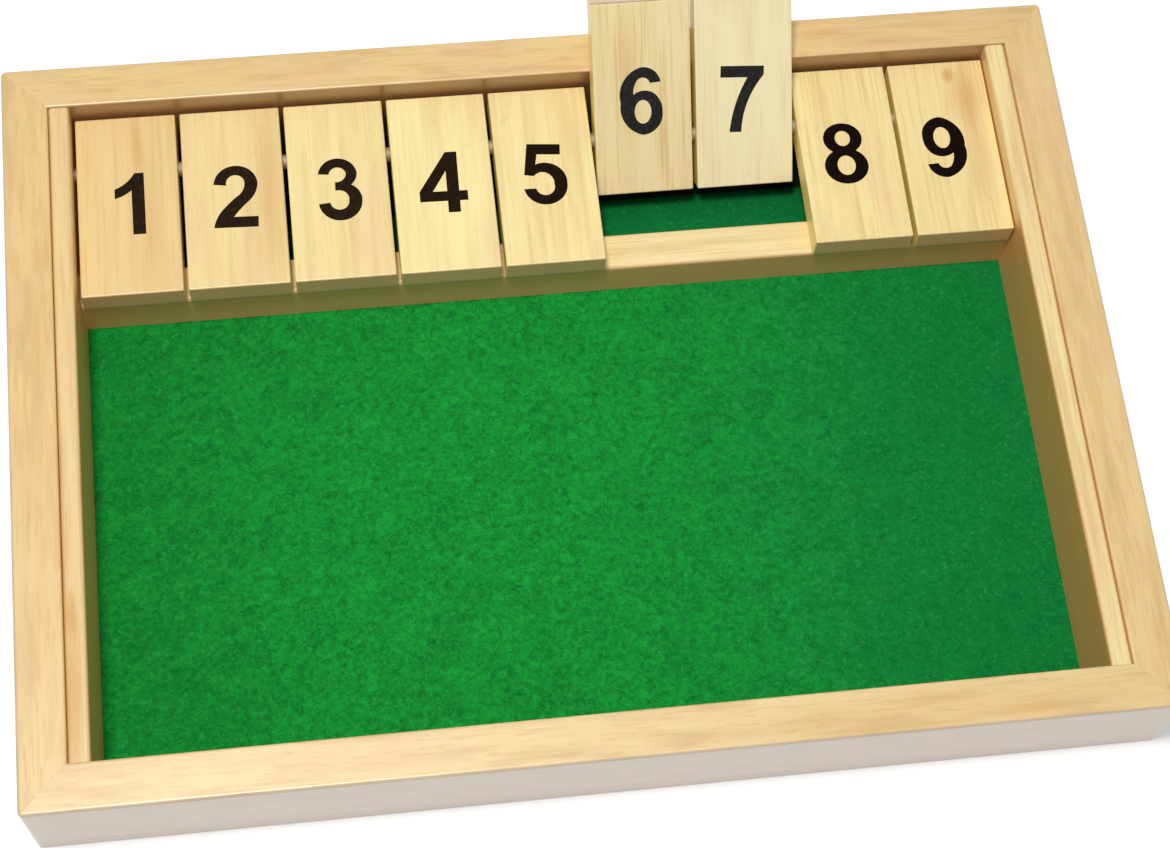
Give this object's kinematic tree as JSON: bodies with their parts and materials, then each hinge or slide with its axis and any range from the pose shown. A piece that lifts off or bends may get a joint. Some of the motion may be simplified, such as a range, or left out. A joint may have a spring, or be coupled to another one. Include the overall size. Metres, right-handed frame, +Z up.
{
  "type": "shut the box game",
  "caption": "Wooden dice tray with a green felt floor and a row of numbered wooden tiles that flip over on a steel rod along its back.",
  "frame": {"origin": "centre of the tray's underside, on the surface that it stands on", "axes": "+X to the right along the row of rising numbers, +Y from the dice tray towards the tiles, +Z up"},
  "size_m": [0.2912, 0.2095, 0.0531],
  "materials": {
    "rail_wood": "satin lacquer",
    "strip_wood": "satin lacquer",
    "bar_wood": "satin lacquer",
    "tile_wood": "satin lacquer",
    "panel_wood": "plain plywood",
    "felt": "felted",
    "ink": "stamped ink",
    "rod_steel": "bright drawn"
  },
  "bodies": {
    "tray": {"rail_front": "rail_wood", "rail_right": "rail_wood", "rail_back": "rail_wood", "rail_left": "rail_wood", "floor_panel": "panel_wood", "felt": "felt", "side_strip_left": "strip_wood", "side_strip_right": "strip_wood", "cross_bar": "bar_wood", "pivot_rod": "rod_steel"},
    "tile_1": {"tile_1": "tile_wood", "numeral_1": "ink"},
    "tile_2": {"tile_2": "tile_wood", "numeral_2": "ink"},
    "tile_3": {"tile_3": "tile_wood", "numeral_3": "ink"},
    "tile_4": {"tile_4": "tile_wood", "numeral_4": "ink"},
    "tile_5": {"tile_5": "tile_wood", "numeral_5": "ink"},
    "tile_6": {"tile_6": "tile_wood", "numeral_6": "ink"},
    "tile_7": {"tile_7": "tile_wood", "numeral_7": "ink"},
    "tile_8": {"tile_8": "tile_wood", "numeral_8": "ink"},
    "tile_9": {"tile_9": "tile_wood", "numeral_9": "ink"}
  },
  "joints": [
    {"name": "tile_1_flip", "type": "hinge", "parent": "tray", "child": "tile_1", "pos_m": [0, 0.07529, 0.02296], "axis": [-1, 0, 0], "range_deg": [0, 135.53]},
    {"name": "tile_2_flip", "type": "hinge", "parent": "tray", "child": "tile_2", "pos_m": [0, 0.07529, 0.02296], "axis": [-1, 0, 0], "range_deg": [0, 135.53]},
    {"name": "tile_3_flip", "type": "hinge", "parent": "tray", "child": "tile_3", "pos_m": [0, 0.07529, 0.02296], "axis": [-1, 0, 0], "range_deg": [0, 135.53]},
    {"name": "tile_4_flip", "type": "hinge", "parent": "tray", "child": "tile_4", "pos_m": [0, 0.07529, 0.02296], "axis": [-1, 0, 0], "range_deg": [0, 135.53]},
    {"name": "tile_5_flip", "type": "hinge", "parent": "tray", "child": "tile_5", "pos_m": [0, 0.07529, 0.02296], "axis": [-1, 0, 0], "range_deg": [0, 135.53]},
    {"name": "tile_6_flip", "type": "hinge", "parent": "tray", "child": "tile_6", "pos_m": [0, 0.07529, 0.02296], "axis": [-1, 0, 0], "range_deg": [-135.53, 0]},
    {"name": "tile_7_flip", "type": "hinge", "parent": "tray", "child": "tile_7", "pos_m": [0, 0.07529, 0.02296], "axis": [-1, 0, 0], "range_deg": [-135.53, 0]},
    {"name": "tile_8_flip", "type": "hinge", "parent": "tray", "child": "tile_8", "pos_m": [0, 0.07529, 0.02296], "axis": [-1, 0, 0], "range_deg": [0, 135.53]},
    {"name": "tile_9_flip", "type": "hinge", "parent": "tray", "child": "tile_9", "pos_m": [0, 0.07529, 0.02296], "axis": [-1, 0, 0], "range_deg": [0, 135.53]}
  ]
}
